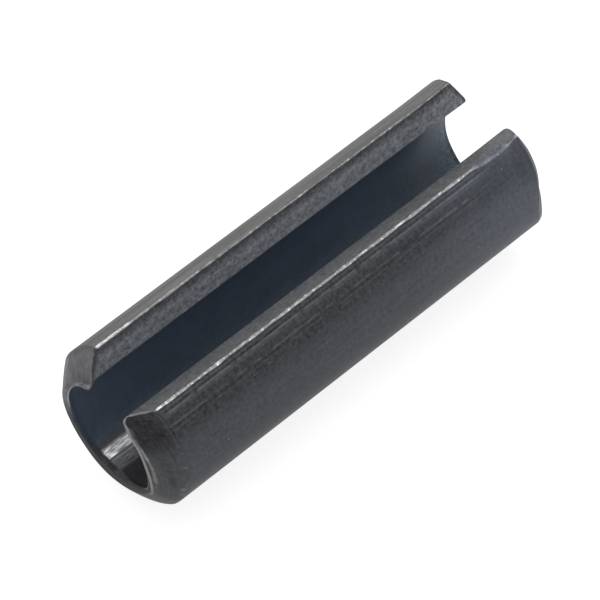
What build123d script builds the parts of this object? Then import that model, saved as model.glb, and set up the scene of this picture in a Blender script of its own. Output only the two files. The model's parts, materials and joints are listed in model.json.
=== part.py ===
"""Slotted spring pin: a strip of spring steel rolled into a C and drawn in at both ends.

The pin lies along X with its slot upwards, the way it comes to rest on a flat surface.
The origin is on the pin's axis, halfway along it. Sizes are in millimetres and degrees.
Angles round the axis are from the top, positive towards the front, which is -Y.
"""
from build123d import *
import os
from math import asin, atan2, cos, degrees, hypot, radians, sin, tan

# ---- driving dimensions ----
pin_length = 25.0          # along the axis, end face to end face
outer_diameter = 8.65      # free size; the pin is squeezed as it goes into its 8 mm hole
wall_thickness = 1.5       # of the strip
slot_gap = 4.45            # straight across, outer corner to outer corner
front_edge_lean = 18.0     # the strip's edge at -Y, away from radial
rear_edge_lean = 13.5      # the strip's edge at +Y, the same way round
end_lean = 2.8             # of each end face, which makes the slot side a little longer

# The end at -X is drawn in more than the other, and its forming also nips the bore.
near_taper_length = 1.12
near_rim_width = 0.65      # wall left at the end face
near_bore_nip = 0.13       # off the bore's radius at the end face
far_taper_length = 0.56
far_rim_width = 0.84

# Forming draws the four lips, where the slot meets an end, further down to a flat facet.
near_lip_run = 0.12        # how far the near facets go past their taper, along the slot
lip_land = 0.12            # wall left between the facet and the bore, at the lip's tip
lip_reach = 36.0           # how far round the end face the facet goes

# Rounding left by forming and tumbling
taper_blend = 0.4          # radius where a taper meets the straight wall
lip_corner_round = 0.22    # the strip's four corners
outer_edge_round = 0.12    # along the slot and round both ends, outside
inner_edge_round = 0.10    # the same, in the bore

# ---- sizes that follow ----
outer_radius = outer_diameter / 2
bore_radius = outer_radius - wall_thickness
half_length = pin_length / 2
near_bore_radius = bore_radius - near_bore_nip
near_tip_radius = near_bore_radius + near_rim_width
far_tip_radius = bore_radius + far_rim_width
slot_half_angle = degrees(asin(slot_gap / outer_diameter))
end_spare = outer_radius * sin(radians(end_lean)) * 2     # cut off again by the end planes

# Which way each end points, how far back its lips' facets start, and its radii at the end face
NEAR_END = (-1, near_taper_length + near_lip_run, near_tip_radius, near_bore_radius)
FAR_END = (1, far_taper_length, far_tip_radius, bore_radius)

# Which way round each lip is from the slot's middle, and its edge's lean
FRONT_LIP = (1, front_edge_lean)
REAR_LIP = (-1, rear_edge_lean)


def beyond_end(radius_at_end, radius_inside, taper_length):
    """Radius that a taper's straight line reaches a spare length past the end face."""
    return radius_at_end + (radius_at_end - radius_inside) * end_spare / taper_length


def rolled_wall():
    """The closed tube with its two tapers, revolved about X from its wall's long section."""
    near_start = -half_length + near_taper_length
    far_start = half_length - far_taper_length
    near_spare = -half_length - end_spare
    far_spare = half_length + end_spare
    outline = [
        (near_spare, beyond_end(near_bore_radius, bore_radius, near_taper_length)),
        (near_spare, beyond_end(near_tip_radius, outer_radius, near_taper_length)),
        (near_start, outer_radius),
        (far_start, outer_radius),
        (far_spare, beyond_end(far_tip_radius, outer_radius, far_taper_length)),
        (far_spare, bore_radius),
        (near_start, bore_radius),
    ]
    with BuildPart() as tube:
        with BuildSketch(Plane.XY) as section:
            with BuildLine():
                Polyline(*outline, close=True)
            make_face()
            bends = [
                corner
                for corner in section.vertices()
                if abs(corner.X - near_start) < 1e-6 or abs(corner.X - far_start) < 1e-6
            ]
            fillet(bends, taper_blend)
        revolve(axis=Axis.X)
    return tube.part


def lip_angle(side, lean, radius):
    """Angle from the slot's middle at which a strip edge's leaning line has some radius."""
    nearest_to_axis = outer_radius * sin(radians(lean))
    return side * slot_half_angle + lean - degrees(asin(nearest_to_axis / radius))


def edge_line(side, lean):
    """A strip edge's line across the pin: from well outside to its point nearest the axis."""
    angle = radians(side * slot_half_angle)
    corner = Vector(-sin(angle), cos(angle)) * outer_radius
    inwards = Vector(sin(angle + radians(lean)), -cos(angle + radians(lean)))
    return corner - inwards * wall_thickness, corner + inwards * outer_radius * cos(radians(lean))


def slot_section():
    """The gap between the strip's two edges, across the pin, with its middle at the top."""
    front_outside, front_inside = edge_line(*FRONT_LIP)
    rear_outside, rear_inside = edge_line(*REAR_LIP)
    return make_face(Polyline(front_outside, front_inside, rear_inside, rear_outside, close=True))


def rest_turn():
    """Turn about the axis that puts the C-shaped section's centroid straight below it."""
    strip_section = Circle(outer_radius) - Circle(bore_radius) - slot_section()
    centroid = strip_section.face().center(CenterOf.MASS)
    return degrees(atan2(-centroid.X, -centroid.Y))


def around(x, radius, angle):
    """The point at a radius and an angle round the axis."""
    return Vector(x, -radius * sin(radians(angle)), radius * cos(radians(angle)))


def on_end_face(way, radius, angle):
    """The same, on the leaning end face that points a way along X."""
    height = around(0, radius, angle).Z
    return around(way * (half_length + height * tan(radians(end_lean))), radius, angle)


def end_plane(way):
    """The plane of an end face, facing outwards."""
    normal = (way * cos(radians(end_lean)), 0, -sin(radians(end_lean)))
    return Plane(origin=(way * half_length, 0, 0), z_dir=normal)


def lip_facet(end, lip):
    """The plane of one lip's facet, facing outwards, through three points of the pin's edges.

    They are on the slot's outer edge past the taper, at the lip's tip a land's width off the
    bore, and on the end face's outer edge where the facet runs out.
    """
    way, facet_length, tip_radius, tip_bore_radius = end
    side, lean = lip
    turn = rest_turn()
    start_x = way * (half_length - facet_length)
    tip_angle = lip_angle(side, lean, tip_bore_radius + lip_land) + turn
    start = around(start_x, outer_radius, side * slot_half_angle + turn)
    tip = on_end_face(way, tip_bore_radius + lip_land, tip_angle)
    run_out = on_end_face(way, tip_radius, tip_angle + side * lip_reach)
    return Plane(origin=start, z_dir=(run_out - start).cross(tip - start) * way * side)


def edges_of(faces):
    """All the edges of some faces."""
    return ShapeList(edge for face in faces for edge in face.edges())


def is_turned(face):
    """Whether a face was revolved about the pin's axis, as the outside and the bore were."""
    axis = face.axis_of_rotation
    return axis is not None and hypot(axis.position.Y, axis.position.Z) < 1e-6


def round_corners(pin):
    """Round the strip's four corners, where its long edges meet its end faces."""
    flats = pin.faces().filter_by(GeomType.PLANE)
    end_faces = [face for face in flats if abs(face.normal_at().X) > 0.5]
    long_faces = [face for face in flats if face not in end_faces]
    corners = [edge for edge in edges_of(end_faces) if edge in edges_of(long_faces)]
    return fillet(corners, lip_corner_round)


def round_border(pin, outside, radius):
    """Round the loop that runs along the slot and over both ends, outside or in the bore."""
    cut_faces = [face for face in pin.faces() if not is_turned(face)]
    turned_faces = [face for face in pin.faces() if is_turned(face)]
    border = [edge for edge in edges_of(cut_faces) if edge in edges_of(turned_faces)]
    middle_of_rim = bore_radius + min(near_rim_width, far_rim_width) / 2
    loop = []
    for edge in border:
        middle = edge @ 0.5
        if (hypot(middle.Y, middle.Z) > middle_of_rim) == outside:
            loop.append(edge)
    return fillet(loop, radius)


def spring_pin():
    """The rolled wall, less its slot and the spare beyond its ends, rounded and then faceted."""
    slot = extrude(Plane.YZ * slot_section(), amount=pin_length, both=True)
    pin = rolled_wall() - slot.rotate(Axis.X, rest_turn())
    for end in (NEAR_END, FAR_END):
        pin = split(pin, bisect_by=end_plane(end[0]), keep=Keep.BOTTOM)
    pin = round_corners(pin)
    pin = round_border(pin, outside=True, radius=outer_edge_round)
    pin = round_border(pin, outside=False, radius=inner_edge_round)
    for end in (NEAR_END, FAR_END):
        for lip in (FRONT_LIP, REAR_LIP):
            pin = split(pin, bisect_by=lip_facet(end, lip), keep=Keep.BOTTOM)
    return pin


pin = spring_pin()
pin.label = "spring_pin"
os.makedirs("parts", exist_ok=True)
export_step(pin, "parts/spring_pin.step")
print("spring_pin", pin.is_valid, round(pin.volume, 2), "mm3", pin.bounding_box())
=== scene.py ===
# %% [markdown]
# # A slotted spring pin in blackened steel
#
# A slotted spring pin is one strip of spring steel, rolled into a C and drawn in at both ends so
# that it starts easily in its hole. The imported CAD part holds its size and place. This lesson
# adds edges rounded and rubbed bright by tumbling, with painted highlights along them, lips drawn
# further down than the wall beside them, lines left by the rolls, and a thin mottled coat of black
# oxide.

# %% Load the imported part
import json
from math import asin, cos, degrees, pi, radians, sin, tan

import bpy
import numpy as np
from mathutils import Matrix, Vector


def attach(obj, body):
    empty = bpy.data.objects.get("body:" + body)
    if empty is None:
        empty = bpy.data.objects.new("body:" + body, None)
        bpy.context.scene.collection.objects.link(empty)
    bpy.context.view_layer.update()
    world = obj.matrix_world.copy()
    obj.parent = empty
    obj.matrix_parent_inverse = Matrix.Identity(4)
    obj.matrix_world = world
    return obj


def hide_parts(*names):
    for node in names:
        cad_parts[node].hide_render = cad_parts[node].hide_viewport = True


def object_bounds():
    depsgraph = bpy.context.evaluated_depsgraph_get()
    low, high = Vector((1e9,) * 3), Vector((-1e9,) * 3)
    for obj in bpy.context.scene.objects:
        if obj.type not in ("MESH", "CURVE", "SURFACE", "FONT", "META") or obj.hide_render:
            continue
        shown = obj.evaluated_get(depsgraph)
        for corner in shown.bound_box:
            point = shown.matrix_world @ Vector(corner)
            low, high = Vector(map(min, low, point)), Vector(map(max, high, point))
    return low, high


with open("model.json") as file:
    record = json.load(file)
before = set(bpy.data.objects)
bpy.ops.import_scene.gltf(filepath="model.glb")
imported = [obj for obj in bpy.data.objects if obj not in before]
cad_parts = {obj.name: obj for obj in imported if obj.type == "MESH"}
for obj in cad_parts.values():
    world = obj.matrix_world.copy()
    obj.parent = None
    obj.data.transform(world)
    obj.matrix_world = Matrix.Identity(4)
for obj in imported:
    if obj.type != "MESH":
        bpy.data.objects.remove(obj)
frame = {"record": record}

CAD_NODE = "spring_pin"
BODY = "root"
MM = 0.001

cad_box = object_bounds()
radii = {mount["name"]: mount["dims"]["r_mm"] for mount in frame["record"]["mounts"]}
print("CAD box in mm:", [[round(side / MM, 3) for side in corner] for corner in cad_box])

# %% [markdown]
# ## The strip's sizes
#
# The pin lies along X with its slot up. Its radii come from the part's mounts, and the rest are the
# CAD part's driving sizes, in mm, but for the slit edges' leans, which are set finer here. Angles
# go round the axis from the top and are positive towards the front, -Y.

# %% Sizes
outer_radius = radii["shank"]
bore_radius = radii["bore"]
pin_length = 25.0
slot_gap = 4.45
end_lean = radians(2.8)  # of each end face, away from square
rest_turn = radians(2.8)  # of the slot's middle, so that the pin lies in balance

NEAR, FAR = -1, 1  # the ends, by the way they face along X
FRONT, REAR = 1, -1  # the strip's slit edges, by the way they lie from the slot
edge_lean = {FRONT: radians(17.8), REAR: radians(11.0)}  # away from radial, both one way round
bore_nip = {NEAR: 0.13, FAR: 0.0}  # how far the rims' bore is drawn in
strip_wall = 1.5

half_length = pin_length / 2
slot_half_angle = asin(slot_gap / 2 / outer_radius)
print("slot half angle in degrees:", round(degrees(slot_half_angle), 2))

# %% [markdown]
# ## The wall as two skins
#
# A rolled strip is easiest to describe by two skins, the outside and the bore, each a distance
# from the axis at every place along and round the pin. Small formulas give the places.

# %% Places round the axis
def around(x, radius, angle):
    """Points from x, distance from the axis and angle: (x, -radius sin(angle), radius cos(angle))."""
    return np.stack(np.broadcast_arrays(x, -radius * np.sin(angle), radius * np.cos(angle)), -1)


def edge_angle(edge, radius):
    """Angle of a slit edge at some radius. The edge is a straight line that passes the axis at
    outer_radius sin(lean), so inwards it turns by asin(outer_radius sin(lean) / radius) - lean."""
    nearest = outer_radius * sin(edge_lean[edge])
    turned = np.arcsin(nearest / radius) - edge_lean[edge]
    return rest_turn + edge * slot_half_angle - turned


def end_place(end, height):
    """X of a leaning end face at some height: half the length plus height tan(lean)."""
    return end * (half_length + height * tan(end_lean))


def off_edge(edge, angle):
    """How far round an angle is from the slit edge's corner that stands out: the front edge's bore
    corner or the rear edge's outer corner."""
    corner = edge_angle(edge, bore_radius if edge == FRONT else outer_radius)
    return np.abs((angle - corner + pi) % (2 * pi) - pi)


for edge in (FRONT, REAR):
    at_radii = [edge_angle(edge, radius) for radius in (outer_radius, bore_radius)]
    print("slit edge outside and in the bore, in degrees:", np.degrees(at_radii).round(1))


# %% Steps, wanders and rings of values
def rise(value, start, stop):
    """Smooth step from 0 at start to 1 at stop: 3 f^2 - 2 f^3 of the fraction f between them."""
    fraction = np.clip((value - start) / (stop - start), 0, 1)
    return fraction * fraction * (3 - 2 * fraction)


def fall(value, start, stop):
    """The same step downwards, from 1 at start to 0 at stop."""
    return 1 - rise(value, start, stop)


def wobble(place, wavelength, seed):
    """A wandering line between about -1 and 1: the mean of five cosines, with wavelengths spread
    round the given one and phases drawn from the seed."""
    draw = np.random.default_rng(seed)
    lengths = wavelength * draw.uniform(0.55, 1.9, 5)
    phases = draw.uniform(0, 2 * pi, 5)
    waves = np.cos(2 * pi * np.asarray(place)[..., None] / lengths + phases)
    return waves.mean(-1) * 1.6


def ring(knots, spread=4):
    """A value for every degree from 0 to 360: straight lines between knots of degrees and values,
    averaged over a few degrees either way."""
    lines = np.interp(np.arange(361), list(knots), list(knots.values()))
    window = np.full(2 * spread + 1, 1 / (2 * spread + 1))
    return np.convolve(np.pad(lines, spread, mode="edge"), window, "valid")


def at_angle(values, angle):
    """Reads a ring of values at an angle."""
    return np.interp(angle, np.radians(np.arange(361)), values)


print("a wobble over 5 mm:", wobble(np.arange(6.0), 2.0, 1).round(2))

# %% [markdown]
# ## The drawn-in ends
#
# Forming draws each end in by a taper, longest at the lips, where the slot meets the end, and there
# it comes down almost to the bore. Four rings say, at each angle, how far from the end face the
# wall starts to come in, where it has come in fully, the wall left there, and how full the curve
# between them is. They run from the front lip, near 30 degrees, to the rear lip, near 330.

# %% The ends' profiles
taper_start = {
    NEAR: ring({24: 1.12, 34: 1.15, 38: 1.26, 44: 1.34, 56: 1.36, 66: 1.28, 90: 1.25, 105: 1.32,
        116: 1.08, 126: 0.84, 150: 0.95, 190: 1.20, 270: 1.22, 290: 1.20, 300: 1.28,
        314: 1.62, 322: 1.68, 332: 1.58}, 2),
    FAR: ring({24: 0.64, 34: 0.66, 63: 0.64, 72: 0.72, 81: 0.78, 90: 0.80, 96: 0.72, 103: 0.58,
        112: 0.34, 119: 0.12, 124: 0.10, 150: 0.30, 240: 0.38, 300: 0.40, 315: 0.47,
        325: 0.68, 332: 0.76}, 1),
}
taper_foot = {
    NEAR: ring({24: 0.42, 34: 0.40, 42: 0.25, 55: 0.05, 62: 0.0, 298: 0.0, 312: 0.35, 325: 0.68}, 2),
    FAR: ring({24: 0.0, 325: 0.0}),
}
rim_wall = {
    NEAR: ring({24: 0.11, 34: 0.15, 50: 0.40, 62: 0.45, 76: 0.56, 90: 0.52, 128: 0.45, 145: 0.54,
        160: 0.61, 176: 0.76, 190: 0.88, 205: 0.84, 222: 0.68, 245: 0.55, 285: 0.48,
        300: 0.34, 310: 0.16, 318: 0.06}, 2),
    FAR: ring({24: 0.05, 30: 0.20, 37: 0.42, 50: 0.64, 65: 0.72, 86: 0.72, 94: 0.88, 102: 1.06,
        112: 1.36, 119: 1.46, 124: 1.44, 150: 0.84, 305: 0.84, 310: 0.54, 315: 0.34,
        320: 0.15, 325: 0.05}, 1),
}
taper_power = {  # 1 is a straight cone, more is fuller, less is hollow
    NEAR: ring({24: 0.5, 34: 0.5, 46: 0.7, 62: 1.0, 80: 1.15, 98: 2.6, 112: 3.0, 124: 1.75,
        190: 1.75, 240: 1.3, 285: 1.08, 296: 1.08, 303: 1.40, 312: 1.45, 325: 1.3}),
    FAR: ring({24: 1.0, 300: 1.1, 325: 1.0}),
}
print("near wall left at the lips:", rim_wall[NEAR][30].round(2), rim_wall[NEAR][328].round(2))


def drawn_in(end, from_end, angle):
    """Radius of an end's taper: outer radius less depth (1 - f)^power, where f is 0 at the foot and
    1 at the start, and the depth leaves the rim's wall over the bore."""
    start, foot = at_angle(taper_start[end], angle), at_angle(taper_foot[end], angle)
    share = np.clip((from_end - foot) / (start - foot), 0, 1)
    tip = bore_radius - bore_nip[end] + at_angle(rim_wall[end], angle)
    return outer_radius - (outer_radius - tip) * (1 - share) ** at_angle(taper_power[end], angle)


# %% The bore and its rim
# How far outwards the rims' bore leaves its circle, in mm: the die nipped the near one in front
# and left it wide at the bottom and behind the rear lip.
near_bore_shift = ring({24: 0.0, 50: -0.02, 78: -0.10, 98: -0.02, 122: 0.20, 150: 0.06, 200: 0.0,
    270: -0.03, 298: 0.18, 314: 0.21, 324: 0.03}, 2)
far_bore_shift = ring({200: 0.0, 232: 0.02, 248: 0.07, 292: 0.07, 312: 0.0})
nip_length, near_shift_length, far_shift_length = 0.42, 0.9, 0.5  # how far they go along
least_wall = 0.07
far_swell = 0.05  # shearing the far end left its rear lip this much thicker
far_inner_swell = 0.07  # and both its lips this much, in the bore
swell_length = 3.0
swell_reach, inner_swell_reach = radians(55), radians(30)


def bore_skin(from_near, from_far, angle):
    """Radius of the bore: nipped and off round at the rims, and swollen inwards at the far lips."""
    nip = bore_nip[NEAR] * fall(from_near, 0, nip_length)
    near_shift = at_angle(near_bore_shift, angle) * fall(from_near, 0, near_shift_length)
    far_shift = at_angle(far_bore_shift, angle) * fall(from_far, 0, far_shift_length)
    off_slit = np.minimum(off_edge(FRONT, angle), off_edge(REAR, angle))
    swell = far_inner_swell * fall(from_far, 0, swell_length) * fall(off_slit, 0, inner_swell_reach)
    return bore_radius - nip + near_shift + far_shift - swell


def outside_skin(from_near, from_far, angle):
    """Radius of the outside: the lower of the two tapers, with the far rear lip's swell, and
    never less than a least wall."""
    radius = np.minimum(drawn_in(NEAR, from_near, angle), drawn_in(FAR, from_far, angle))
    off_rear = off_edge(REAR, angle)
    swell = far_swell * fall(from_far, 0, swell_length) * fall(off_rear, 0, swell_reach)
    return np.maximum(radius + swell, bore_skin(from_near, from_far, angle) + least_wall)


print("bore radius at the near rim:", bore_skin(0.0, 25.0, radians(200)).round(3))

# %% The four lips
# Forming also bends each lip towards the axis. For every (end, edge): the bend, where it is full and
# gone from the end, how many degrees it reaches round, and how far short of the end face the tip
# stops, over how many degrees.
lips = {
    (NEAR, FRONT): (0.06, 0.0, 1.2, 40, 0.20, 20),
    (NEAR, REAR): (0.36, 0.4, 1.02, 27, 0.42, 50),
    (FAR, FRONT): (0.0, 0.0, 1.0, 30, 0.0, 30),
    (FAR, REAR): (-0.02, 0.0, 3.0, 60, 0.0, 30),
}


def bent_in(from_near, from_far, angle):
    """How far the lips bend towards the axis, each fading along the pin and round it."""
    total = 0.0
    for (end, edge), (bend, full, gone, reach, _, _) in lips.items():
        along = fall(from_near if end == NEAR else from_far, full, gone)
        total = total + bend * along * fall(off_edge(edge, angle), 0, radians(reach))
    return total


def lips_short(end, angle):
    """How far short of the end face the strip stops, most at the lips' tips."""
    total = 0.0
    for edge in (FRONT, REAR):
        short, reach = lips[end, edge][4:]
        total = total + short * fall(off_edge(edge, angle), 0, radians(reach))
    return total


print("lips:", len(lips))

# %% [markdown]
# ## The strip as a rounded sheet
#
# Unrolled, the strip is a flat sheet, with one grid over all six sides and its lines close together
# where the form turns. Its corners and borders are rounded while it is flat, and then it is rolled
# up. That keeps each edge's own radius, where the wear shows, and leaves no seam between skins.

# %% Grid lines
strip_width = (bore_radius + outer_radius) * (pi - slot_half_angle)  # halfway through the wall
outside_width = outer_radius * 2 * (pi - slot_half_angle)
corner_round = 0.34  # the strip's four corners


def grid_lines(length, places, steps):
    """Parameters from 0 to 1 whose spacing follows the steps at given places: 1 / step is added
    up along the length, and equal shares of the sum are read back."""
    fine = np.linspace(0, length, 8001)
    count = np.cumsum(1 / np.interp(fine, places, steps))
    shares = np.linspace(count[0], count[-1], int(round((count[-1] - count[0]) * length / 8000)))
    return np.interp(shares, count, fine) / length


def from_both_ends(length, places, steps, end_places, end_steps):
    """Grid lines whose places and steps are given from both ends of a length."""
    far_places = [length - place for place in reversed(end_places)]
    return grid_lines(length, places + far_places, steps + end_steps[::-1])


across = from_both_ends(strip_width, [0, 0.14, 0.3, 1.9, 3.2], [0.026, 0.03, 0.045, 0.05, 0.14],
                        [0, 0.14, 0.3, 2.6, 3.8], [0.026, 0.03, 0.05, 0.07, 0.14])
along = from_both_ends(pin_length, [0, 0.14, 0.3, 1.5, 2.6], [0.026, 0.03, 0.05, 0.06, 0.22],
                       [0, 0.14, 0.3, 1.0, 3.4, 4.2], [0.026, 0.03, 0.05, 0.06, 0.12, 0.22])
through = np.array([0, 0.02, 0.04, 0.06, 0.085, 0.13, 0.24, 0.38, 0.5])
through = np.concatenate([through, 1 - through[-2::-1]])
print("grid lines across, along and through:", len(across), len(along), len(through))


# %% Corners turned into curves
def length_by(first, second, power):
    """Length of a corner offset, (first^power + second^power)^(1/power): a circle's where the
    power is 2, and squarer as it grows."""
    return (np.maximum(first, 0) ** power + np.maximum(second, 0) ** power) ** (1 / power)


def to_curve(first, second, power):
    """Turns a square corner into a curve: where both distances past its centre are above 0, they
    are scaled by the larger over their length."""
    larger = np.maximum(first, second)
    both = (first > 0) & (second > 0)
    scale = np.where(both, larger / np.maximum(length_by(first, second, power), 1e-9), 1.0)
    return first * scale, second * scale


landed = to_curve(np.array([corner_round]), np.array([corner_round]), 2)[0]
print("a square corner of", corner_round, "mm lands at:", landed.round(3))


# %% Edge radii
far_forming = (23.4, 24.2)  # between these, from the near end, the far taper takes over


def slit_round(edge, place):
    """Outer edge radius along a slit edge: a small round that wanders, and is wider where
    tumbling has flattened it."""
    if edge == FRONT:
        flattened = rise(place, 21.2, 22.4) * fall(place, *far_forming)
        return 0.105 + 0.03 * wobble(place, 1.6, 3) + 0.17 * flattened
    return 0.125 - 0.045 * rise(place, 3, 16) + 0.02 * wobble(place, 2.3, 5)


rim_round = {NEAR: 0.10, FAR: 0.03}  # outer edge radius round each end
bore_edge_round = 0.07  # all round the bore side
most_of_wall = 0.46  # no edge round takes up more of the wall than this
# How square each corner of the strip stays: 2 is a circle.
corner_power = {(NEAR, FRONT): 2.2, (NEAR, REAR): 2.6, (FAR, FRONT): 5.0, (FAR, REAR): 12.0}


def by_corner(values, side, place):
    """One value for each quarter of the flat sheet."""
    near = np.where(side < 0, values[NEAR, FRONT], values[NEAR, REAR])
    far = np.where(side < 0, values[FAR, FRONT], values[FAR, REAR])
    return np.where(place < 0, near, far)


print("front edge radius at 5 mm steps:", slit_round(FRONT, np.arange(0, 26, 5.0)).round(3))


# %% Rounding the flat sheet
def rounded_sheet(side, place, depth, wall):
    """The flat sheet's points after rounding, from their place across and along it, both from its
    middle, their depth below the outside and the wall there.

    In plan, what lies past the corner centres is turned by to_curve. Then the distance in from
    the border and the depth are turned the same way, at the outside and at the bore."""
    half_width, half_span = strip_width / 2, pin_length / 2
    power = by_corner(corner_power, side, place)
    core_side = np.clip(side, -half_width + corner_round, half_width - corner_round)
    core_place = np.clip(place, -half_span + corner_round, half_span - corner_round)
    off_side, off_place = side - core_side, place - core_place
    turned = to_curve(np.abs(off_side), np.abs(off_place), power)
    reach = length_by(turned[0], turned[1], power)
    off_side, off_place = np.sign(off_side) * turned[0], np.sign(off_place) * turned[1]
    squares = off_side**2 + off_place**2
    slit_share = np.where(reach > 0, off_side**2 / np.maximum(squares, 1e-12), 0)
    from_near = place + half_span
    slit = np.where(side < 0, slit_round(FRONT, from_near), slit_round(REAR, from_near))
    rim = np.where(place < 0, rim_round[NEAR], rim_round[FAR])
    outer_size = np.minimum(slit_share * slit + (1 - slit_share) * rim, most_of_wall * wall)
    bore_size = np.minimum(bore_edge_round, most_of_wall * wall)
    inset = corner_round - reach
    for size, over in ((outer_size, False), (bore_size, True)):
        below = wall - depth if over else depth
        past = to_curve(size - inset, size - below, 2)
        rounds = (inset < size) & (below < size)
        inset = np.where(rounds, size - past[0], inset)
        below = np.where(rounds, size - past[1], below)
        depth = wall - below if over else below
    stretch = np.where(reach > 0, (corner_round - inset) / np.maximum(reach, 1e-9), 1)
    at_border = reach > 0
    borders = {
        "slit_share": slit_share,
        "inset": inset,
        "outer_edge": edge_share(inset, depth, outer_size) * at_border,
        "bore_edge": edge_share(inset, wall - depth, bore_size) * at_border,
    }
    return core_side + off_side * stretch, core_place + off_place * stretch, depth, borders


def edge_share(inset, below, size):
    """How far into an edge's round a point is, from 0 on the flats beside it to 1 at the middle
    of its curve: 1 less the larger distance over the radius, brought up to 1."""
    at_middle = 0.293  # 1 less the sine of 45 degrees
    return np.clip(1 - np.maximum(inset, below) / size, 0, at_middle) / at_middle


print("edges rounded outside and in the bore, in mm:", rim_round[NEAR], bore_edge_round)

# %% [markdown]
# ## Marks left by the rolls
#
# The rolls that close the strip leave marks beside its slit edges, a few microns high: wandering
# grooves and ridges in front, and a band of fine lines behind. They go on the outside's radius,
# where light can find them.

# %% Roll marks
# Each mark's place from the front slit edge, half width and height, in mm. Below 0 is a groove.
roll_marks = [(0.17, 0.05, -0.003), (0.27, 0.04, 0.003), (0.36, 0.05, -0.005), (0.48, 0.05, 0.004),
              (0.86, 0.06, 0.002), (1.06, 0.055, 0.005), (1.21, 0.05, -0.005), (1.32, 0.05, 0.003),
              (1.60, 0.07, -0.002)]
rear_line_step, rear_line_height = 0.155, 0.0016
mark_depth = 0.12  # below this depth in the wall the marks are gone


def roll_relief(from_front, place):
    """Height of the roll marks: bells e^-(d / half width)^2 about lines that wander, come and go
    along the pin, and stop where forming begins."""
    height = 0.0
    for number, (line, half_width, size) in enumerate(roll_marks):
        wander = 0.02 * wobble(place, 9, 20 + number)
        strength = 0.75 + 0.5 * wobble(place, 3.5, 40 + number)
        bell = np.exp(-(((from_front - line - wander) / half_width) ** 2))
        height = height + size * strength * bell
    return height * rise(place, 1.2, 1.7) * fall(place, *far_forming)


def rear_lines(from_rear, place):
    """Height of the fine lines beside the rear slit edge: a sine across the strip that wavers
    along the pin and fades away from the edge."""
    wave = np.sin(2 * pi * from_rear / rear_line_step + 0.9 * wobble(place, 7, 60))
    return rear_line_height * wave * fall(from_rear, 1.0, 1.7) * rise(place, 1.5, 2.2)


highest = max(size for line, half_width, size in roll_marks)
print("roll marks in front:", len(roll_marks), "the highest in microns:", round(highest * 1000, 1))

# %% [markdown]
# ## Rolling the sheet up
#
# A point's angle depends on its radius, because the slit edges lean, and its radius on its angle,
# because the ends are drawn in. Working both out in turn a few times settles the whole grid.

# %% Rolling it up
def rolled(side, place, share):
    """Rolls a sheet's points up, from their place across and along it and the share of the wall,
    0 in the bore and 1 outside. The angle is mixed between the two slit edges at the point's own
    radius, and x between the two leaning ends at its own height.

    Returns x, the radius, the angle, the wall and the outside's radius."""
    across_share = side / strip_width + 0.5
    along_share = place / pin_length + 0.5
    radius = bore_radius + share * (outer_radius - bore_radius)
    for _ in range(4):
        front, rear = edge_angle(FRONT, radius), 2 * pi + edge_angle(REAR, radius)
        angle = front + across_share * (rear - front)
        height = radius * np.cos(angle)
        near_face, far_face = end_place(NEAR, height), end_place(FAR, height)
        near_x = near_face + lips_short(NEAR, angle)
        x = near_x + along_share * (far_face - lips_short(FAR, angle) - near_x)
        from_near, from_far = x - near_face, far_face - x
        inside = bore_skin(from_near, from_far, angle)
        outside = outside_skin(from_near, from_far, angle)
        radius = inside + share * (outside - inside)
    return x, radius - bent_in(from_near, from_far, angle), angle, outside - inside, outside


corner_x, corner_radius = rolled(strip_width / 2, pin_length / 2, 1.0)[:2]
print("the far rear corner rolls to x and radius:", corner_x.round(3), corner_radius.round(3))

# %% How brightly the edges are rubbed, and their painted highlights
# Forming and tumbling rub the near rim unevenly, so its lines have rings of strengths: its edge
# in the bore, its edge outside, and a burr between them, at its own depth over the bore. These lines
# are partly bare steel and partly painted highlight, bright where a glint would run round the rim.
near_bore_rub_and_glint = ring({24: 1.0, 110: 1.0, 124: 0.5, 142: 0.1, 200: 0.1, 266: 0.2, 280: 1.0})
rim_line_rub_and_glint = ring({24: 1.0, 105: 0.85, 118: 0.5, 132: 0.3, 140: 0.0})
rim_line_depth = ring({24: 0.10, 50: 0.18, 84: 0.18, 98: 0.26, 120: 0.36, 140: 0.45})
near_outer_rub_and_glint = ring({30: 0.5, 42: 1.2, 60: 1.3, 84: 1.0, 100: 0.7, 118: 0.0})
burr_and_glint_width = 0.14  # half the width of its soft line
outer_rim_share, lip_share = 0.45, 0.6  # of the near rim's outside and the front lip's edge
far_outside_share, far_bore_share = 0.35, 0.2
face_border = 0.06  # how far a face's finish fades out at its border
drawn_depth = 0.25  # where the wall has come in by this, it looks fully drawn


def slit_rub_and_glint(edge, from_near):
    """How brightly a slit's outer edge is rubbed along the pin, partly wear and partly painted
    highlight: the front one less where it is flattened, and the rear one most near the start, with
    bare steel at 1."""
    if edge == FRONT:
        return rise(from_near, 1.1, 1.3) - 0.50 * rise(from_near, 21.0, 22.2)
    return np.interp(from_near, [1.1, 1.3, 2.3, 3.6, 6.5, 8.5, 25], [0, 1, 1, 0.92, 0.90, 0.77, 0.77])


print("near rim rubbed inside at 30, 120 and 200 degrees:", near_bore_rub_and_glint[[30, 120, 200]].round(2))


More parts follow.
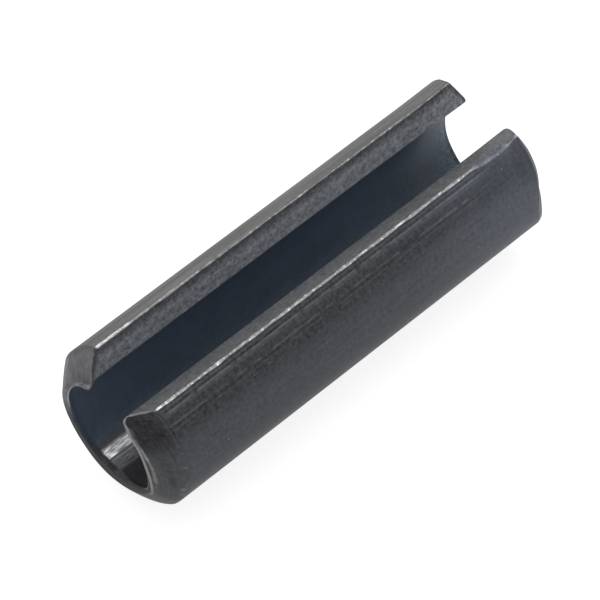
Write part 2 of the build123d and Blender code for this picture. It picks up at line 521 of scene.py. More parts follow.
# %% What the finish reads
def finish_facts(side, place, depth, wall, angle, outside, borders):
    """What the finish reads at every point: where it is on the unrolled strip, which side of it
    that is, and how far each edge there is rubbed bright, partly as wear and partly as painted
    highlight."""
    on_slit, outer_edge = borders["slit_share"], borders["outer_edge"]
    from_near = place + pin_length / 2
    at_face = fall(borders["inset"], 0.0, face_border)
    slit_face = on_slit * at_face
    in_bore = fall(1 - depth / wall, 0.0, face_border) * (1 - 0.7 * slit_face)
    near_rim = (place < 0) * (1 - on_slit)
    far_rim = (place > 0) * (1 - on_slit)
    # The slit edges' strengths are partly wear and partly painted highlight.
    along_slit = np.where(side < 0, slit_rub_and_glint(FRONT, from_near), slit_rub_and_glint(REAR, from_near))
    outer_rub_and_glint = outer_edge * (on_slit * along_slit + far_outside_share * far_rim)
    # The near rim's lines are partly bare steel and partly painted highlight.
    off_burr = wall - depth - at_angle(rim_line_depth, angle)
    burr_and_glint = np.exp(-((off_burr / burr_and_glint_width) ** 2))
    burr_and_glint = burr_and_glint * at_angle(rim_line_rub_and_glint, angle) * fall(borders["inset"], 0.04, 0.12)
    burr_and_glint = np.maximum(burr_and_glint, outer_rim_share * outer_edge * at_angle(near_outer_rub_and_glint, angle))
    burr_and_glint = burr_and_glint * (place < 0) * fall(on_slit, 0.6, 0.9)
    lip_edge = outer_edge * on_slit * (side < 0) * fall(from_near, 1.0, 1.25)
    in_slit = 0.45 * (side > 0) + rise(1.2 - from_near, 0, 0.8)
    bore_rub_and_glint = near_rim * at_angle(near_bore_rub_and_glint, angle) + far_bore_share * far_rim
    bore_rub_and_glint = borders["bore_edge"] * (bore_rub_and_glint + on_slit * in_slit)
    return {
        "unrolled": np.stack([side, place, depth], -1),
        "slit_face": slit_face,
        "bore_wall": in_bore,
        "drawn_end": np.clip((outer_radius - outside) / drawn_depth, 0, 1) * (1 - in_bore),
        "end_face": (1 - on_slit) * at_face,
        "outer_rub_and_glint": np.clip(outer_rub_and_glint, 0, 1),
        "bore_rub_and_glint": np.clip(bore_rub_and_glint, 0, 1),
        "rim_line": np.maximum(burr_and_glint, lip_share * lip_edge),
    }


print("burr's half width in mm:", burr_and_glint_width, "drawn look from:", drawn_depth)


# %% Every point of the strip
def sheet_points(across, along, through):
    """Every grid point, first flat, then rounded, then rolled up with the roll marks, and the
    facts for the finish. The wall is read from a first roll, so that thin lips get small rounds."""
    side, place, share = np.meshgrid(across - 0.5, along - 0.5, through, indexing="ij")
    side, place = side * strip_width, place * pin_length
    wall = rolled(side, place, share)[3]
    side, place, depth, borders = rounded_sheet(side, place, (1 - share) * wall, wall)
    share = 1 - depth / wall
    x, radius, angle, wall, outside = rolled(side, place, share)
    side = side * outside_width / strip_width
    from_front, from_rear = outside_width / 2 + side, outside_width / 2 - side
    from_near = place + pin_length / 2
    marks = roll_relief(from_front, from_near) + rear_lines(from_rear, from_near)
    radius = radius + marks * np.clip(1 - depth / mark_depth, 0, 1)
    return around(x, radius, angle), finish_facts(side, place, depth, wall, angle, outside, borders)


block, facts = sheet_points(across, along, through)
print("points in the block:", block.shape[:3], "facts:", list(facts))

# %% [markdown]
# ## One closed mesh
#
# The six sides of the block of grid points become one mesh. Every point there has one number,
# shared by all the faces that meet in it, so the shell is closed without any merging.

# %% The block's shell
def shell_of(counts):
    """Numbers the points on the six sides of a block of grid points, and lists its faces. Sides at
    the start of an axis are listed the other way round from those at its end, to face outwards."""
    outer = np.ones(counts, bool)
    outer[1:-1, 1:-1, 1:-1] = False
    number = np.full(counts, -1)
    number[outer] = np.arange(outer.sum())
    faces = []
    for axis in range(3):
        for index, flip in ((0, True), (-1, False)):
            sheet = np.take(number, index, axis)
            if axis == 1:
                flip = not flip
            quads = np.stack([sheet[:-1, :-1], sheet[1:, :-1], sheet[1:, 1:], sheet[:-1, 1:]], -1)
            quads = quads.reshape(-1, 4)
            faces.append(quads[:, ::-1] if flip else quads)
    return outer, np.concatenate(faces)


def mesh_object(name, points, faces):
    """A smooth-shaded object from whole arrays of points and four-cornered faces."""
    mesh = bpy.data.meshes.new(name)
    mesh.vertices.add(len(points))
    mesh.vertices.foreach_set("co", points.astype(np.float32).ravel())
    mesh.loops.add(faces.size)
    mesh.loops.foreach_set("vertex_index", faces.astype(np.int32).ravel())
    mesh.polygons.add(len(faces))
    mesh.polygons.foreach_set("loop_start", np.arange(0, faces.size, 4, dtype=np.int32))
    mesh.update(calc_edges=True)
    mesh.validate()
    mesh.shade_smooth()
    thing = bpy.data.objects.new(name, mesh)
    bpy.context.scene.collection.objects.link(thing)
    return thing


on_shell, faces = shell_of(block.shape[:3])
points = block[on_shell] * MM
print("points and faces on the shell:", len(points), len(faces))

# %% The pin
pin = mesh_object("rolled_pin", points, faces)
corners = points[faces]
outwards = np.cross(corners[:, 1] - corners[:, 0], corners[:, 3] - corners[:, 0])
volume = (corners[:, 0] * outwards).sum() / 3
print("volume in mm3, above 0 when faces point outwards:", round(volume / MM**3, 1))


def add_fact(thing, name, values):
    """A point attribute for the finish to read: one number or one vector for every point."""
    kind, field = ("FLOAT_VECTOR", "vector") if values.ndim == 2 else ("FLOAT", "value")
    attribute = thing.data.attributes.new(name, kind, "POINT")
    attribute.data.foreach_set(field, values.astype(np.float32).ravel())


for name, values in facts.items():
    add_fact(pin, name, values[on_shell])
    print(name, "from", values[on_shell].min().round(3), "to", values[on_shell].max().round(3))

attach(pin, BODY)
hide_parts(CAD_NODE)

# %% [markdown]
# ## Black oxide
#
# Black oxide is a micron of magnetite on the steel, part mirror and part dull. What shows most is
# how it varies: a fine mottle, lines that follow the rolling direction, brighter sheared faces,
# and bare steel where edges rub, there partly painted as highlights. The finish reads the unrolled
# coordinates, so its lines follow the strip round. Each helper adds a node beside the results it
# is given, and gives its result.

# %% Node helpers
def is_result(value):
    """Whether a value is a node's result, and not a plain one."""
    return isinstance(value, bpy.types.NodeSocket)


def fill(socket, value):
    """Links a result to a socket, or sets it to a plain value."""
    if is_result(value):
        socket.id_data.links.new(value, socket)
    else:
        socket.default_value = value


def add_node(kind, inputs, tree=None, **settings):
    """Adds a node to a tree, or else to the tree of its inputs, with its settings and inputs."""
    tree = tree or next(value.id_data for value in inputs.values() if is_result(value))
    node = tree.nodes.new("ShaderNode" + kind)
    for name, value in settings.items():
        setattr(node, name, value)
    for name, value in inputs.items():
        fill(node.inputs[name], value)
    return node


def calc(operation, *values):
    """The result of a Math node."""
    return add_node("Math", dict(enumerate(values)), operation=operation).outputs[0]


def times(first, *others):
    """The product of several values."""
    for value in others:
        first = calc("MULTIPLY", first, value)
    return first


def plus(value, added, amount):
    """A value plus some amount of another."""
    return calc("MULTIPLY_ADD", added, amount, value)


def with_all(value, *changes):
    """A value plus every change's amount, from (change, amount) pairs."""
    for change, amount in changes:
        value = plus(value, change, amount)
    return value


print("node helpers: fill, add_node, calc, times, plus, with_all")


# %% Ramps, colours and noise
def ramp(value, start, stop, low=0.0, high=1.0):
    """A smooth Map Range, from low at start to high at stop."""
    inputs = {"Value": value, "From Min": start, "From Max": stop, "To Min": low, "To Max": high}
    return add_node("MapRange", inputs, interpolation_type="SMOOTHSTEP").outputs["Result"]


def fade(value, start, stop, left=0.0):
    """1 at start, and down to what is left at stop."""
    return ramp(value, start, stop, 1.0, left)


def band_of(value, start, full, stop, gone):
    """1 between two places, with soft borders."""
    return times(ramp(value, start, full), fade(value, stop, gone))


def colour_mix(share, first, second, blend="MIX"):
    """A colour mixed from two by a share. The Mix node's colours go in at 6 and 7 and out at 2."""
    inputs = {0: share, 6: first, 7: second}
    return add_node("Mix", inputs, data_type="RGBA", blend_type=blend).outputs[2]


def noise_of(place, scale, detail=3.0, roughness=0.6):
    """A Noise Texture's value, about 0.5 on average."""
    inputs = {"Vector": place, "Scale": scale, "Detail": detail, "Roughness": roughness}
    return add_node("TexNoise", inputs).outputs[0]


def joined(*parts):
    """A vector from its parts."""
    return add_node("CombineXYZ", dict(enumerate(parts))).outputs[0]


print("more node helpers: ramp, fade, band_of, colour_mix, noise_of, joined")


# %% Node groups
def new_group(name, **inputs):
    """A node group with one number output. Its inputs are numbers with their defaults, or vectors
    where the default is None. Gives the group, what it is given, and where its result goes."""
    group = bpy.data.node_groups.new(name, "ShaderNodeTree")
    for title, default in inputs.items():
        kind = "NodeSocketVector" if default is None else "NodeSocketFloat"
        socket = group.interface.new_socket(title, in_out="INPUT", socket_type=kind)
        if default is not None:
            socket.default_value = default
    group.interface.new_socket("Value", in_out="OUTPUT", socket_type="NodeSocketFloat")
    given = group.nodes.new("NodeGroupInput").outputs
    return group, given, group.nodes.new("NodeGroupOutput").inputs["Value"]


def use_group(group, **values):
    """Places a group with its own values, and gives its output."""
    return add_node("Group", values, node_tree=group).outputs["Value"]


mottle, given, result = new_group("oxide_mottle", Place=None, Size=0.2)
blotches = noise_of(given["Place"], calc("DIVIDE", 1.0, given["Size"]))
fill(result, calc("SUBTRACT", blotches, 0.5))
print("oxide_mottle: a noise about 0, so that adding it keeps the average")

# %% Fine lines
lines, given, result = new_group("drawn_lines", Place=None, Across=0.1, Along=4.0, Low=0.5, High=0.7)
parts = add_node("SeparateXYZ", {0: given["Place"]}).outputs
stretched = joined(calc("DIVIDE", parts[0], given["Across"]), calc("DIVIDE", parts[1], given["Along"]),
                   calc("DIVIDE", parts[2], given["Across"]))
fill(result, ramp(noise_of(stretched, 1.0, 2.0, 0.5), given["Low"], given["High"]))
print("drawn_lines: a noise stretched along the pin or round it")

# %% One long line
long_line, given, result = new_group("long_line", Across=0.0, Along=0.0, Centre=0.5, Width=0.05,
                                     Wander=0.02, Gaps=0.5, Patch=1.0, Seed=1.0)
wander_length, gap_border = 3.0, 0.1
seed_step = 7.31  # far enough apart for unlike noise


def noise_along(along, length, seed):
    """Noise along one line, from a seed, with patches about a length long."""
    return noise_of(joined(calc("DIVIDE", along, length), times(seed, seed_step)), 1.0, 2.0, 0.55)


swing = calc("SUBTRACT", noise_along(given["Along"], wander_length, given["Seed"]), 0.5)
middle = plus(given["Centre"], swing, given["Wander"])
away = calc("ABSOLUTE", calc("SUBTRACT", given["Across"], middle))
line_patches = noise_along(given["Along"], given["Patch"], calc("ADD", given["Seed"], 0.5))
shown = ramp(line_patches, calc("SUBTRACT", given["Gaps"], gap_border),
             calc("ADD", given["Gaps"], gap_border))
fill(result, times(fade(away, 0.0, given["Width"]), shown))
print("long_line: a wandering line that comes and goes along the pin")

# %% Rubbed edges
# Bare steel along the slit edges, partly wear and partly painted highlight.
edge_wear_and_glint, given, result = new_group("rubbed_edge_and_glint", Place=None, Edge=0.0, Size=0.4, Amount=0.5)
wear_noise = 1.6  # how much the uneven noise counts beside the edge's curve
uneven = noise_of(given["Place"], calc("DIVIDE", 1.0, given["Size"]), 3.0, 0.65)
rubbed = plus(given["Edge"], calc("SUBTRACT", uneven, 0.5), wear_noise)
limit = calc("SUBTRACT", 1.0, given["Amount"])
bare_mask = ramp(rubbed, limit, calc("ADD", limit, 0.5))
fill(result, times(bare_mask, ramp(given["Edge"], 0.02, 0.3)))
print("rubbed_edge_and_glint: bare where the edge's curve and an uneven noise together pass a limit")

# %% Specks
specks, given, result = new_group("specks", Place=None, Size=0.5, Share=0.1, Reach=0.1)
cell_scale = calc("DIVIDE", 1.0, given["Size"])
cells = add_node("TexVoronoi", {"Vector": given["Place"], "Scale": cell_scale}).outputs
pick = add_node("SeparateColor", {0: cells["Color"]}).outputs[0]
spot = fade(cells["Distance"], times(given["Reach"], 0.4), given["Reach"])
fill(result, times(spot, calc("LESS_THAN", pick, given["Share"])))
print("specks: a dot in a few cells of a Voronoi pattern")

# %% [markdown]
# ## The blackened steel
#
# One material covers the pin, because it is one piece of steel that went through one bath. Its
# colour starts from the outside skin and is changed for one region after another. A region's
# places are in mm: along the pin from its middle or its near end, and round the strip from its
# middle or one of its slit edges.

# %% Colours
skin_colour = (0.075, 0.079, 0.090, 1)
edge_band_colour = (0.072, 0.074, 0.081, 1)  # beside the front slit edge, where the rolls bore
rear_strip_colour = (0.084, 0.084, 0.083, 1)  # beside the rear one
far_colour = (0.099, 0.108, 0.126, 1)
drawn_colour = (0.046, 0.046, 0.050, 1)
drawn_low_colour = (0.070, 0.072, 0.077, 1)
rear_lip_sheen_colour = (0.143, 0.143, 0.150, 1)  # painted pale: a painted reflection of the light behind the pin
end_colour = (0.016, 0.016, 0.018, 1)
far_end_colour = (0.036, 0.037, 0.041, 1)  # cut through, and rougher
bore_colour = (0.085, 0.110, 0.150, 1)
bore_far_colour = (0.064, 0.080, 0.103, 1)
near_end_grey_colour = (0.060, 0.058, 0.061, 1)
# painted shade: the hollow under the front lip in the near bore, where the light does not reach
hollow_shade_colour = (0.034, 0.033, 0.036, 1)
inner_lip_colour = (0.105, 0.103, 0.108, 1)
front_slit_dark = (0.050, 0.051, 0.053, 1)
front_slit_pale = (0.097, 0.100, 0.107, 1)
rear_slit_dark = (0.090, 0.096, 0.107, 1)
rear_slit_pale = (0.290, 0.305, 0.335, 1)
bare_colour = (0.56, 0.56, 0.55, 1)
print("oxide reflects about", skin_colour[1], "and bare steel", bare_colour[1])

# %% Where the finish is
steel = bpy.data.materials.new("blackened_steel")
steel.use_nodes = True
tree = steel.node_tree
shader = tree.nodes["Principled BSDF"]


def fact_of(name, output="Fac"):
    """A point attribute's value in the steel."""
    return add_node("Attribute", {}, tree, attribute_name=name).outputs[output]


place = fact_of("unrolled", "Vector")
across_pin, along_pin, depth = add_node("SeparateXYZ", {0: place}).outputs
from_front = calc("ADD", across_pin, outside_width / 2)
from_rear = calc("SUBTRACT", outside_width / 2, across_pin)
from_near = calc("ADD", along_pin, pin_length / 2)
on_slit, in_bore = fact_of("slit_face"), fact_of("bore_wall")
on_end, on_taper = fact_of("end_face"), fact_of("drawn_end")
outer_rub_and_glint, bore_rub_and_glint = fact_of("outer_rub_and_glint"), fact_of("bore_rub_and_glint")
outside_only = calc("SUBTRACT", 1.0, calc("MAXIMUM", on_slit, in_bore))
rear_half = ramp(across_pin, 5.7, 7.9)
near_half = fade(along_pin, -0.1, 0.1)
rear_side = ramp(across_pin, -0.1, 0.1)
print("facts read:", list(facts))

# %% [markdown]
# The outside is darkest on the tapers, and the near rear lip is painted palest, a painted reflection
# of the light behind the pin. Beside the slit the rolls left two bands.

# %% The outside's colour
band_share = times(fade(from_front, 1.72, 1.84), fade(along_pin, 1.5, 9.0))
colour = colour_mix(ramp(along_pin, 2.0, 11.0), skin_colour, far_colour)
colour = colour_mix(band_share, colour, edge_band_colour)
colour = colour_mix(fade(from_rear, 1.2, 3.2), colour, rear_strip_colour)
taper_colour = colour_mix(ramp(from_front, 1.3, 2.4), drawn_colour, drawn_low_colour)
# The near rear lip's pale colour is painted light: a painted reflection of the light behind the pin.
taper_colour = colour_mix(times(rear_half, near_half), taper_colour, rear_lip_sheen_colour)
colour = colour_mix(on_taper, colour, taper_colour)
# The end face beside the near rear lip gets the same painted reflection.
end = colour_mix(times(ramp(across_pin, 5.6, 7.6), near_half), end_colour, rear_lip_sheen_colour)
end = colour_mix(near_half, far_end_colour, end)
colour = colour_mix(on_end, colour, end)
print("outside colours go from", drawn_colour[1], "on the tapers to", rear_lip_sheen_colour[1])

# %% [markdown]
# The bore is bluer, because it is smooth and the bath stays in it longest. Near the end it is greyer,
# its hollow under the front lip is painted black as painted shade, and the front lip's inside is paler.

# %% The bore's colour
bore = colour_mix(ramp(along_pin, 6.0, 10.5), bore_colour, bore_far_colour)
near_end_grey = times(band_of(across_pin, -6.5, -4.0, 2.5, 3.2), fade(from_near, 3.0, 5.0))
bore = colour_mix(times(near_end_grey, 0.8), bore, near_end_grey_colour)
# Painted shade in the hollow under the front lip, where the light does not reach.
hollow_shade = times(band_of(across_pin, -6.5, -4.0, 0.16, 0.28), fade(from_near, 1.2, 4.5))
bore = colour_mix(times(hollow_shade, 0.85), bore, hollow_shade_colour)
inner_lip = calc("SUBTRACT", ramp(across_pin, -2.2, 0.2, 0.12, 0.36), from_near)
inner_lip = times(ramp(inner_lip, -0.03, 0.05), fade(across_pin, 0.3, 0.7))
bore = colour_mix(inner_lip, bore, inner_lip_colour)
colour = colour_mix(in_bore, colour, bore)
print("bore colours go from", hollow_shade_colour[1], "in the hollow to", bore_colour[1])

# %% [markdown]
# Slitting shears a strip in two zones, one smooth from the knife and one torn and rough, so the slit
# faces change with depth.

# %% The slit faces' colours
def zones_of(dark, pale, zones):
    """A colour ramp down a slit face, from its places in mm and how pale each is."""
    node = add_node("ValToRGB", {"Fac": calc("DIVIDE", depth, strip_wall)})
    stops = node.color_ramp.elements
    stops.remove(stops[1])
    for number, (down, share) in enumerate(zones):
        stop = stops[0] if number == 0 else stops.new(down / strip_wall)
        stop.position = down / strip_wall
        stop.color = [low + (high - low) * share for low, high in zip(dark, pale)]
    return node.outputs["Color"]


front_slit = zones_of(front_slit_dark, front_slit_pale,
                      [(0.0, 0.8), (0.12, 0.5), (0.25, 0.85), (1.1, 0.9), (1.3, 1.0)])
rear_slit = zones_of(rear_slit_dark, rear_slit_pale,
                     [(0.0, 0.0), (0.12, 0.0), (0.35, 0.3), (0.7, 1.0), (1.05, 0.7), (1.3, 0.9)])
colour = colour_mix(on_slit, colour, colour_mix(rear_side, front_slit, rear_slit))
print("slit faces reach", front_slit_pale[1], "in front and", rear_slit_pale[1], "behind")

# %% [markdown]
# ## Mottle and lines
#
# A shade, a factor about 1, multiplies the colours. The oxide's crystals mottle it at several
# sizes, more on torn faces and where the rolls bore. Forming adds fine lines.

# %% Mottle
fine_size, grain_size, broad_size, patch_size, torn_size = 0.22, 0.09, 1.6, 0.55, 0.17
fine, grain, broad, patches = [use_group(mottle, Place=place, Size=size)
                               for size in (fine_size, grain_size, broad_size, patch_size)]
sheared_place = add_node("VectorMath", {0: place, 1: (1.0, 0.38, 1.0)},
                         operation="MULTIPLY").outputs[0]
torn = use_group(mottle, Place=sheared_place, Size=torn_size)
blotchy = calc("MAXIMUM", times(band_share, outside_only), on_slit)
fine_share = calc("SUBTRACT", plus(0.88, blotchy, 0.95), times(in_bore, 0.35))
far_bore = times(ramp(from_near, 23.4, 24.8), in_bore, ramp(fine, -0.06, 0.12))
lip_scuffs = times(torn, on_taper, rear_half)
shade = plus(0.98, fine, fine_share)
shade = plus(shade, grain, plus(0.4, blotchy, 0.7))
shade = with_all(shade, (patches, 0.35), (times(torn, on_slit), 1.2), (far_bore, 0.5), (broad, 0.35),
                 (lip_scuffs, 1.0), (times(on_end, fine), 1.6))
print("mottle sizes in mm:", fine_size, grain_size, broad_size, patch_size, torn_size)

# %% Lines round the tapers and along the strip
along_lines = use_group(lines, Place=place, Across=0.26, Along=9.0, Low=0.38, High=0.62)
around_lines = use_group(lines, Place=place, Across=3.0, Along=0.11, Low=0.40, High=0.64)
turned_lines, rolled_lines = [calc("SUBTRACT", streaks, 0.5) for streaks in (around_lines, along_lines)]
taper_lines = times(turned_lines, on_taper, plus(1.0, rear_half, -0.8))
far_lines = times(turned_lines, times(ramp(from_near, 23.0, 23.8), outside_only))
strip_lines = times(rolled_lines, times(fade(from_rear, 1.2, 3.4, 0.15), outside_only,
                                        ramp(from_near, 1.2, 1.8)))
shade = with_all(shade, (taper_lines, 0.22), (far_lines, 0.16), (strip_lines, 0.55))
print("sets of lines: 3, nodes so far:", len(tree.nodes))

# %% Where forming stopped
# The taper's shoulder has pale patches, partly scuffs and partly painted highlight, and near the
# front slit edge a dark line where the taper starts is painted shade. The strip behind the slit is
# painted paler towards the far end, a painted reflection of the light behind the pin, and the rear
# slit face and the bore are darker at the far end.
# Pale patches on the shoulder, partly scuffs and partly painted highlight.
shoulder = times(ramp(on_taper, 0.0, 0.12), fade(on_taper, 0.25, 0.6), ramp(patches, -0.02, 0.12))
shade = plus(shade, shoulder, plus(0.2, band_of(from_front, 2.2, 3.4, 5.0, 6.0), 0.9))
# Painted shade: a dark line along the crease where the front taper starts.
taper_start_shade = times(ramp(on_taper, 0.0, 0.04), fade(on_taper, 0.06, 0.2), fade(from_front, 1.5, 1.9))
# Painted reflection: the strip behind the slit made paler towards the far end.
strip_painted_sheen = times(fade(from_rear, 1.5, 2.4), ramp(along_pin, -6.0, 4.0))
rear_far = times(rear_half, on_slit, ramp(from_near, 18.0, 23.0))
far_rim_line = times(in_bore, ramp(from_near, 24.74, 24.84))
shade = with_all(shade, (taper_start_shade, -0.45), (strip_painted_sheen, 0.16), (rear_far, -0.25), (far_rim_line, -0.6))
print("shoulder, groove and rims are laid, nodes so far:", len(tree.nodes))

# %% Long lines beside the front edge
# Each line's place from the front slit edge, half width, wander, how much of it is missing, length
# of its patches, and change of shade.
edge_lines = [(0.16, 0.055, 0.04, 0.25, 2.0, -0.20), (0.26, 0.045, 0.04, 0.46, 1.0, 0.5),
              (0.35, 0.06, 0.06, 0.30, 2.0, -0.20), (0.47, 0.07, 0.08, 0.42, 0.6, 1.2),
              (0.58, 0.14, 0.10, 0.30, 2.0, 0.45), (1.06, 0.075, 0.10, 0.47, 0.7, 0.9),
              (1.21, 0.055, 0.10, 0.36, 1.5, -0.28), (1.32, 0.05, 0.10, 0.45, 1.3, 0.4),
              (1.62, 0.06, 0.16, 0.55, 1.0, -0.15)]
straight_part = times(ramp(from_near, 1.1, 1.6), fade(from_near, 20.6, 22.6), outside_only)
for number, (centre, width, wander, gaps, patch, change) in enumerate(edge_lines):
    line = use_group(long_line, Across=from_front, Along=from_near, Centre=centre, Width=width,
                     Wander=wander, Gaps=gaps, Patch=patch, Seed=number + 1.0)
    shade = plus(shade, times(line, straight_part), change)
print("lines beside the front edge:", len(edge_lines))

# %% [markdown]
# ## Rubbed bright, and painted highlights
#
# The oxide is a micron thick, so whatever rubs the pin bares the steel: other pins in the tumbling
# barrel along the edges, and single knocks elsewhere. Bare steel also stands for painted highlights:
# a band in the bore, and parts of the slit edges and the near rim.

# %% The painted highlight in the bore
# Inside the near end one band of the bore is painted bright with bare steel, a painted highlight of the
# light through the slot, with a thin line and a grey band beside it.
bright_start, bright_stop = 1.52, 2.15
on_bore = joined(across_pin, along_pin)
bore_lines = use_group(lines, Place=on_bore, Across=0.08, Along=0.55, Low=0.40, High=0.62)
band_start = plus(0.28, fine, 0.25)
reach_in = times(ramp(calc("SUBTRACT", from_near, band_start), 0.0, 0.06), fade(from_near, 2.4, 4.2))
reach_in = times(reach_in, in_bore)
bright_band = band_of(across_pin, 1.42, bright_start, bright_stop, 2.45)
thin_band = times(band_of(across_pin, 1.12, 1.16, 1.26, 1.31), 0.36)
grey_band = band_of(across_pin, 0.20, 0.30, 1.02, 1.12)
bore_highlight_band = times(calc("MAXIMUM", bright_band, thin_band), fade(from_near, 0.55, 0.95, 0.72),
                    plus(0.34, bore_lines, 0.60))
bore_highlight_band = times(calc("MAXIMUM", bore_highlight_band, times(grey_band, bore_lines, 0.18)), reach_in)
upper_bore = times(ramp(across_pin, 3.0, 6.8), in_bore)
nipped = times(fade(from_near, 0.15, 0.45), in_bore, calc("SUBTRACT", 1.0, inner_lip),
               band_of(across_pin, -1.2, -0.2, 3.0, 6.0))
shade = with_all(shade, (upper_bore, 0.75), (nipped, -0.40))
print("rubbed band across the bore in mm:", bright_start, "to", bright_stop)

# %% Bare slit edges and painted highlights
# The edges are bare in patches, more in the first few mm, and brightest where the tapers start.
# How bright each stretch is stands in for the edges' glint, so they are partly wear and partly painted
# highlight.
slit_bare_and_glint = use_group(edge_wear_and_glint, Edge=outer_rub_and_glint, Place=place, Size=0.45, Amount=0.62)
patchy = calc("MAXIMUM", ramp(noise_of(place, 0.9), 0.55, 0.66, 0.32, 1.0),
              ramp(noise_of(place, 5.0), 0.48, 0.70, 0.30, 0.95))
first_part = plus(1.0, fade(from_near, 1.9, 3.5), plus(0.5, rear_side, 0.9))
slit_bare_and_glint = times(slit_bare_and_glint, patchy, ramp(outer_rub_and_glint, 0.0, 1.0), first_part)
# Painted highlight: bare steel where the slit edges' glint starts at each taper.
corner_glint = calc("MAXIMUM", band_of(from_near, 1.2, 1.32, 1.45, 1.75),
                  times(band_of(from_near, 24.1, 24.4, 24.8, 24.95), 0.7))
corner_glint = times(corner_glint, ramp(outer_rub_and_glint, 0.2, 0.5))
bare = calc("MAXIMUM", calc("MINIMUM", slit_bare_and_glint, 1.0), corner_glint)
print("bare slit edges are laid, nodes so far:", len(tree.nodes))

# %% Bare rims with painted highlights, and specks
# The rim lines are partly bare steel and partly painted highlight.
rim_bare_and_glint = times(ramp(plus(bore_rub_and_glint, fine, 0.5), 0.25, 0.8), ramp(bore_rub_and_glint, 0.05, 0.5))
burr_and_glint = ramp(plus(fact_of("rim_line"), fine, 0.5), 0.12, 0.8)
speck = use_group(specks, Place=place, Size=0.7, Share=0.35, Reach=0.07)
speck = times(speck, calc("SUBTRACT", 1.0, calc("MAXIMUM", on_end, on_taper)), outside_only)
slit_speck = times(use_group(specks, Place=place, Size=0.28, Share=0.16, Reach=0.32), on_slit)
for rub, amount in ((rim_bare_and_glint, 0.5), (burr_and_glint, 0.45), (speck, 0.40), (slit_speck, 0.22)):
    bare = calc("MAXIMUM", bare, times(rub, amount))
# The bore's painted highlight is laid as bare steel.
bare = calc("MAXIMUM", bare, bore_highlight_band)
grey = add_node("CombineColor", {0: shade, 1: shade, 2: shade}).outputs[0]
colour = colour_mix(1.0, colour, grey, "MULTIPLY")
fill(shader.inputs["Base Color"], colour_mix(bare, colour, bare_colour))
print("bare steel shows on edges, in the bore's band and in specks")

# %% [markdown]
# ## Gloss and grain
#
# Bare steel is all metal, and the oxide is less so, least on the sheared faces and in the bore.
# What is finer than the mesh, crystals and scratches a few microns high, is laid as bump.

# %% Gloss and grain
bump_height = 6e-6
metallic = plus(0.75, calc("MAXIMUM", on_slit, in_bore), -0.5)
fill(shader.inputs["Metallic"], calc("MAXIMUM", metallic, bare))
fill(shader.inputs["Roughness"], with_all(0.42, (on_slit, 0.16), (broad, 0.15), (bare, -0.08)))
shader.inputs["Specular Tint"].default_value = (0.65, 0.65, 0.65, 1)
height = plus(times(grain, calc("ADD", 0.6, on_slit)), fine, 0.5)
height = times(height, plus(1.0, bore_highlight_band, -0.8))
height = with_all(height, (times(around_lines, on_taper), 0.25), (times(bore_lines, in_bore), 0.15))
bump = add_node("Bump", {"Height": height, "Distance": bump_height, "Strength": 1.0})
fill(shader.inputs["Normal"], bump.outputs[0])
pin.data.materials.append(steel)
print("nodes in the material:", len(tree.nodes), "bump in microns:", round(bump_height * 1e6, 1))

# %% [markdown]
# ## Floor
#
# The pin lies on a plain white floor. A part of the floor's white is its own glow, which only the
# camera and reflections see, so it does not light the pin from below, and the shadow stays.

# %% Floor
floor_height = cad_box[0].z
floor_size = 2.0
floor_corners = np.array([[-1, -1, 0], [1, -1, 0], [1, 1, 0], [-1, 1, 0]]) * floor_size / 2
floor = mesh_object("floor", floor_corners + [0, 0, floor_height], np.array([[0, 1, 2, 3]]))
floor_white = bpy.data.materials.new("floor_white")
floor_white.use_nodes = True
tree = floor_white.node_tree
paint = tree.nodes["Principled BSDF"]
paint.inputs["Base Color"].default_value = (0.35, 0.35, 0.35, 1)
paint.inputs["Roughness"].default_value = 1.0
paint.inputs["Specular IOR Level"].default_value = 0.0
paint.inputs["Emission Color"].default_value = (1, 1, 1, 1)
glow, camera_share = 0.72, 1.16
ray = add_node("LightPath", {}, tree).outputs
seen = calc("MAXIMUM", times(ray["Is Camera Ray"], camera_share), ray["Is Glossy Ray"])
seen = calc("MAXIMUM", seen, ray["Is Transmission Ray"])
fill(paint.inputs["Emission Strength"], times(seen, glow))
floor.data.materials.append(floor_white)
print("floor at", round(floor_height / MM, 3), "mm")

# %% [markdown]
# ## Light
#
# The studio is a plain pale room, a little brighter behind the pin than to the left of it. A soft
# lamp overhead draws the bright lines along the slit's edges and in the bore, and one low behind
# the pin lights its rear shoulder.

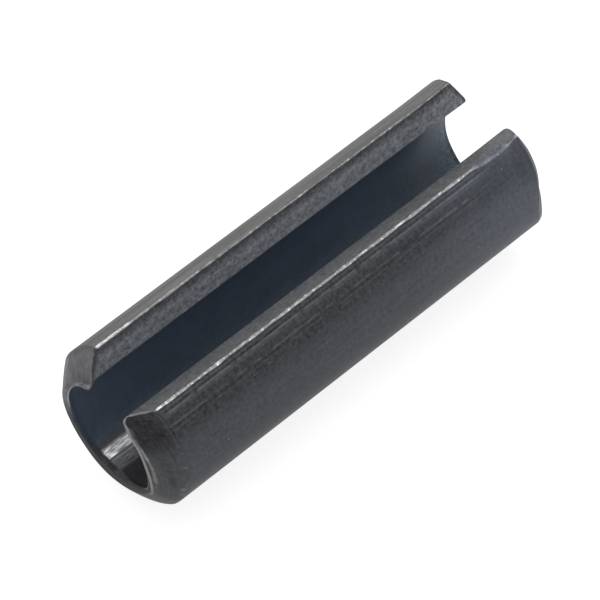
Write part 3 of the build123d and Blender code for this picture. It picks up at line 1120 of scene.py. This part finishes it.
# %% Room light
world = bpy.data.worlds.new("studio")
bpy.context.scene.world = world
world.use_nodes = True
tree = world.node_tree
air = tree.nodes["Background"]
air.inputs["Color"].default_value = (1, 1, 1, 1)
towards = add_node("TexCoord", {}, tree).outputs["Generated"]
bright_side = (0.55, 0.75, 0.35)
dimmest, brightest = 0.35, 1.0
facing = add_node("VectorMath", {0: towards, 1: bright_side},
                  operation="DOT_PRODUCT").outputs["Value"]
room_level = ramp(facing, -1.0, 1.0, dimmest, brightest)
for_camera = add_node("LightPath", {}, tree).outputs["Is Camera Ray"]
level = add_node("Mix", {0: for_camera, 2: room_level, 3: brightest}, data_type="FLOAT")
fill(air.inputs["Strength"], level.outputs[0])
print("room light from", dimmest, "to", brightest, "towards", bright_side)


# %% Lamps
def soft_light(name, direction, distance, size, radiance):
    """A square lamp facing the pin from a direction and distance. A lamp of radiance 1 has a power
    of pi times its area."""
    lamp = bpy.data.lights.new(name, "AREA")
    lamp.shape = "SQUARE"
    lamp.size = size
    lamp.energy = radiance * pi * size**2
    holder = bpy.data.objects.new(name, lamp)
    towards = Vector(direction).normalized()
    holder.rotation_mode = "QUATERNION"
    holder.rotation_quaternion = towards.to_track_quat("Z", "Y")
    holder.location = towards * distance
    bpy.context.scene.collection.objects.link(holder)
    print(name, "adds", round(radiance * (size / distance) ** 2 / pi, 2), "to a white card facing it")
    return holder


soft_light("overhead_light", (0.41, -0.05, 0.91), 0.6, 0.30, 2.4)
soft_light("rear_light", (0.15, 0.95, 0.25), 0.5, 0.34, 2.2)

# %% [markdown]
# ## Camera
#
# A long lens from above the near end looks down along the pin, so that the slot, the bore and
# both ends show, and the pin's sides stay almost parallel.

# %% Camera
heading = radians(48.82)
elevation = radians(51.84)
roll = radians(-2.80)
distance = 179.1 * MM
aim = Vector((-0.338, -0.141, -0.258)) * MM
camera_data = bpy.data.cameras.new("camera")
camera_data.lens = 224.5
camera_data.sensor_width = 36
camera_data.clip_start = 0.01
camera = bpy.data.objects.new("camera", camera_data)
bpy.context.scene.collection.objects.link(camera)
level_right = Vector((sin(heading), -cos(heading), 0))
look = Vector((cos(elevation) * cos(heading), cos(elevation) * sin(heading), -sin(elevation)))
level_up = level_right.cross(look)
right = level_right * cos(roll) + level_up * sin(roll)
up = right.cross(look)
turn = Matrix((right, up, -look)).transposed().to_4x4()
camera.matrix_world = Matrix.Translation(aim - look * distance) @ turn
bpy.context.scene.camera = camera
bpy.context.scene.view_settings.view_transform = "Standard"
print("camera at", [round(side, 4) for side in camera.matrix_world.translation])
